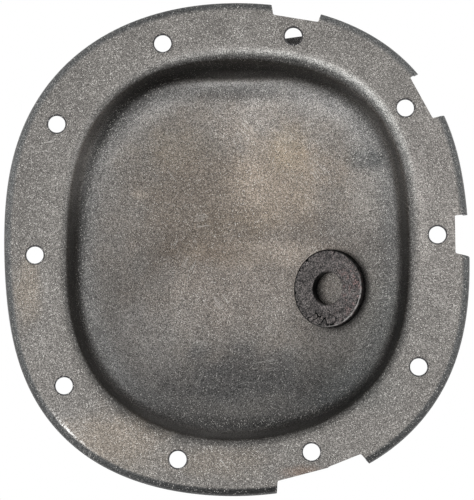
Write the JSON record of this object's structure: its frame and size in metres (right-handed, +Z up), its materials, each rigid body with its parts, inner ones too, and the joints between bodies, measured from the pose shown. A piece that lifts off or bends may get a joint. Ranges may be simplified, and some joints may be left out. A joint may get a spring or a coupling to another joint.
{
  "type": "differential cover",
  "caption": "Pressed steel differential cover with a deep dome, a turned-back lip round its bolted gasket flange and a ring magnet inside.",
  "frame": {"origin": "middle of the gasket flange's outline, in the plane of the gasket face", "axes": "+Z up as the cover is fitted on the axle, -Y out of the gasket face towards the axle housing, +Y out of the crown of the dome, +X to the right when looking into the dome"},
  "size_m": [0.2663, 0.0572, 0.2831],
  "materials": {
    "pressed_steel": "bare pressed steel, dull and grainy, with light handling marks",
    "dark_ferrite": "sintered ferrite, dark brownish grey, chipped and scuffed",
    "tab_steel": "bare sheet steel, dull"
  },
  "bodies": {
    "root": {"cover_shell": "pressed_steel", "ring_magnet": "dark_ferrite", "brake_line_tab": "tab_steel"}
  },
  "joints": []
}
